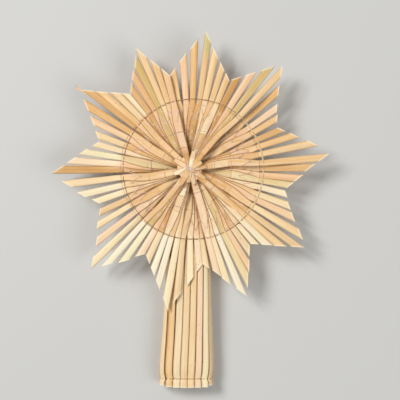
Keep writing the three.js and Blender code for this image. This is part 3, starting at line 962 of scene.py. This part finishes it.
# For each: its bearing, its reach from the star's middle in millimetres, its kind, and how bleached it is.
PETALS = (
    (12, 14, "straw_cream", 0.7), (40, 15, "straw_gold", -0.5), (57, 10, "straw_gold", -0.2),
    (80, 13, "straw_gold", 0.0), (104, 9.5, "straw_gold", -0.4), (124, 14, "straw_tan", 0.5),
    (144, 10, "straw_gold", -0.1), (166, 12.5, "straw_pink", 0.3), (190, 11, "straw_cream", 0.2),
    (212, 14.5, "straw_pink", -0.2), (233, 9.5, "straw_gold", 0.1), (254, 13.5, "straw_cream", 0.8),
    (276, 10.5, "straw_gold", 0.2), (300, 14, "straw_pink", 0.2), (322, 10.5, "straw_gold", 0.4),
    (345, 13, "straw_tan", 0.1),
)
# The torn ends of these have no pale cut: the only cut given for them is a metre away.
NO_PALE_CUT = [(Vector((1, 0)), Vector((1, 0)))]


def on_bearing(bearing):
    """The level direction on a bearing, in degrees clockwise from the top of the star."""
    return Vector((math.sin(math.radians(bearing)), math.cos(math.radians(bearing)), 0))


petals = []
for bearing, reach, kind, tone in PETALS:
    heading = on_bearing(bearing)
    half = reach / 2 - 0.4
    petal = drawn_out("petal_%d" % bearing, PETAL, (half + 2) * MM, PETAL_SIDES)
    apply_modifier(petal, "MIRROR", use_clip=True, merge_threshold=0.01 * MM)
    faces_outward(petal)
    activate(petal)
    bpy.ops.transform.translate(value=(half * MM, 0, 0))
    bpy.ops.object.transform_apply(location=True)
    slant = straws.uniform(-0.5, 0.5) * MM
    cut_end(petal, (0.3 * MM, 1), (0.3 * MM, -1), -1)
    cut_end(petal, (2 * half * MM + slant, 2 * MM), (2 * half * MM - slant, -2 * MM), 1)
    note_places(petal, straws.random(), PETAL, 1.0, half * MM, NO_PALE_CUT, lambda x: tone)
    route = []
    for step in (PETAL_START, 0.22 * reach, 0.44 * reach, 0.66 * reach, 0.84 * reach, reach):
        spot = star_centre + heading * step * MM
        side = Vector((-heading.y, heading.x, 0)) * SIDE_TOUCH
        top = max(height_on(pile, at.x, at.y) for at in (spot, spot + side, spot - side))
        route.append(Vector((spot.x, spot.y, top + LAID_HEIGHT)))
    for i in range(1, len(route)):
        route[i].z = max(route[i].z, route[i - 1].z - PETAL_DROP)
    bend_along(petal, route)
    finish_straw(petal, kind)
    petals.append(petal)

# The knot: short turns of the pale thread over the topmost straws and lengths.
KNOT_THREAD = 0.6 * MM
# For each turn: its bearing, and how far it reaches to both sides of the star's middle.
KNOT_TURNS = ((98, 4.2 * MM), (115, 4.8 * MM), (152, 3.0 * MM), (60, 2.8 * MM), (172, 3.6 * MM))
KNOT_STEPS = 5  # from the middle of a turn to its end
KNOT_END_DROP = 0.5 * MM  # its ends go down between the lengths


def close_ends(thread):
    activate(thread)
    bpy.ops.object.mode_set(mode="EDIT")
    bpy.ops.mesh.select_all(action="SELECT")
    bpy.ops.mesh.fill_holes(sides=8)
    bpy.ops.object.mode_set(mode="OBJECT")
    faces_outward(thread)


def join_pieces(pieces, name):
    """Makes one piece of several."""
    activate(pieces[0])
    for piece in pieces:
        piece.select_set(True)
    bpy.ops.object.join()
    joined = bpy.context.object
    joined.name = name
    return joined


knotted = surface_of(star_straws + petals)
knot_turns = []
for bearing, reach in KNOT_TURNS:
    heading = on_bearing(bearing)
    points = []
    for step in range(-KNOT_STEPS, KNOT_STEPS + 1):
        share = step / KNOT_STEPS
        spot = star_centre + heading * (reach * step / KNOT_STEPS)
        beside = ((0, 0), (MM / 2, 0), (0, MM / 2))
        top = max(height_on(knotted, spot.x + x, spot.y + y) for x, y in beside)
        points.append(Vector((spot.x, spot.y, top + LAID_HEIGHT - KNOT_END_DROP * abs(share) ** 3)))
    for i in range(1, len(points) - 1):
        points[i].z = max(points[i].z, (points[i - 1].z + points[i + 1].z) / 2)
    turn = new_thread("knot_turn", lengths_along(points)[-1], KNOT_THREAD)
    close_ends(turn)
    bend_along(turn, points)
    knot_turns.append(turn)
knot_yarn = thread_material(
    "knot_yarn", (0.98, 0.74, 0.62, 1), (1.0, 0.88, 0.80, 1), Vector((-0.7, 0.7, 0)), (-3 * MM, 3 * MM)
)
finish_thread(join_pieces(knot_turns, "middle_knot"), knot_yarn)


# ---- Split tip ----
# The longest ray on the upper left has split where it was cut. A few dry fibres of the straw stand off
# from its tip and curl up.

SPLIT_STRAW = "star_straw_26"
# Distance from a fibre's inner end, width and thickness: it tapers.
FIBRE = ((0, 0.75, 0.16), (5, 0.6, 0.14), (9, 0.4, 0.12), (13, 0.22, 0.1), (16, 0.16, 0.08))
FIBRE_SIDES = 6
FIBRE_REACH = 16 * MM  # before it is cut to length
FIBRE_CUT = 0.02 * MM  # cut off its inner end
FIBRE_INSIDE = 3 * MM  # how much of a fibre still lies along the straw
FIBRE_HEIGHT = 0.75 * MM  # of its start, above the middle of the straw's edge
FIBRE_TONE = 1.3  # fully bleached
# For each: where it starts to the side of the tip, its length past the tip, how far it turns aside and how
# far it lifts, in millimetres.
FIBRES = ((0.1, 4.5, 1.6, 1.2), (0.0, 5.8, -0.8, 2.0), (-0.3, 3.6, -2.6, 0.9), (0.1, 3.2, 2.8, 0.7))

split_route, split_end, _ = star_straw_route(SPLIT_STRAW)
tip = max(split_end, key=lambda edge: (edge - star_centre).length)
heading, sideways = level_directions(split_route[1], split_route[0])
fibres = []
for start, reach, aside, lift in FIBRES:
    fibre = drawn_out("fibre", FIBRE, FIBRE_REACH, FIBRE_SIDES)
    length = FIBRE_INSIDE + reach * MM
    cut_square(fibre, FIBRE_CUT, length)
    note_places(fibre, 0.3 + start / 5, FIBRE, 1.0, 0, NO_PALE_CUT, lambda x: FIBRE_TONE)
    route = []
    for share in (0, 0.3, 0.55, 0.75, 0.9, 1):
        past = share * length - FIBRE_INSIDE
        bend = max(0.0, past / (reach * MM)) ** 1.5
        spot = tip + heading * (past * (1 - 0.25 * bend)) + sideways * (start * MM + aside * MM * bend)
        spot.z += FIBRE_HEIGHT + lift * MM * bend
        route.append(spot)
    bend_along(fibre, route)
    fibres.append(fibre)
finish_straw(join_pieces(fibres, "split_fibres"), node_slots[SPLIT_STRAW])


# ---- Threads of the sleeve ----
# One thread runs round the outside just above the rim and draws the straws in. The other runs inside,
# behind the straws, and shows only in the gaps between them.

SLEEVE_THREAD = 0.5 * MM
sleeve_yarn = thread_material(
    "sleeve_yarn", (0.20, 0.09, 0.03, 1), (0.85, 0.68, 0.42, 1), Vector((0, 1, 0)), (-150 * MM, -146 * MM)
)


def beside_straws(y, on_straw, in_gap):
    """Points of a thread round the sleeve, from how far out it lies on a straw's middle and in a gap."""
    spots = []
    for route, outward in sleeve_routes:
        for i in range(len(route) - 1):
            if route[i].y >= y >= route[i + 1].y:
                share = (y - route[i].y) / (route[i + 1].y - route[i].y)
                spots.append((route[i].lerp(route[i + 1], share), outward[i].lerp(outward[i + 1], share)))
                break
    points = []
    for (spot, out), (after, out_after) in zip(spots, spots[1:] + spots[:1]):
        points.append(spot + out * on_straw)
        points.append((spot + after) / 2 + (out + out_after).normalized() * in_gap)
    for point in points:
        point.z = max(point.z, SLEEVE_THREAD * 0.6)  # it rests on the floor with the straws
    return points


# For each: its height, and how far out it lies on a straw's middle and in a gap.
for node, y, on_straw, in_gap in (
    ("sleeve_rim_thread", (rim_low.y + rim_high.y) / 2, 0.5 * MM, 0.3 * MM),
    ("sleeve_inner_thread", (band_low.y + band_high.y) / 2, -0.55 * MM, 0.55 * MM),
):
    loop = lay_loop(node + "_spun", beside_straws(y, on_straw, in_gap), SLEEVE_THREAD)
    dress_thread(loop, sleeve_yarn, node)


# ---- Floor, light and camera ----
# The ornament lies on a plain pale floor, under a large soft lamp on the left and a weaker one on the
# right, with a little warm light from all round.

bpy.ops.mesh.primitive_plane_add(size=4, location=(0, 0, 0))
floor = bpy.context.object
floor.name = "floor"
floor_paint, _, floor_shader = new_material("floor_paint")
floor_shader.inputs["Base Color"].default_value = (0.60, 0.60, 0.585, 1)
floor_shader.inputs["Roughness"].default_value = 0.9
floor.data.materials.append(floor_paint)

camera_data = bpy.data.cameras.new("camera")
camera_data.sensor_width = 36
camera_data.lens = 108
camera = bpy.data.objects.new("camera", camera_data)
bpy.context.scene.collection.objects.link(camera)
camera.location = (star_centre.x + 7.3 * MM, star_centre.y - 23.2 * MM, star_centre.z + 0.9)
bpy.context.scene.camera = camera


def add_lamp(name, place, power, size):
    lamp_data = bpy.data.lights.new(name, "AREA")
    lamp_data.energy = power
    lamp_data.size = size
    lamp = bpy.data.objects.new(name, lamp_data)
    bpy.context.scene.collection.objects.link(lamp)
    lamp.location = place
    lamp.rotation_euler = (-Vector(place)).to_track_quat("-Z", "Y").to_euler()


add_lamp("key_lamp", (-1.1, 0.7, 1.5), 31, 0.7)
add_lamp("fill_lamp", (1.2, -0.6, 1.4), 14, 1.2)

world = bpy.data.worlds.new("studio")
bpy.context.scene.world = world
world.use_nodes = True
background = world.node_tree.nodes["Background"]
background.inputs["Color"].default_value = (1, 0.97, 0.93, 1)
background.inputs["Strength"].default_value = 0.25
bpy.context.scene.view_settings.view_transform = "Standard"
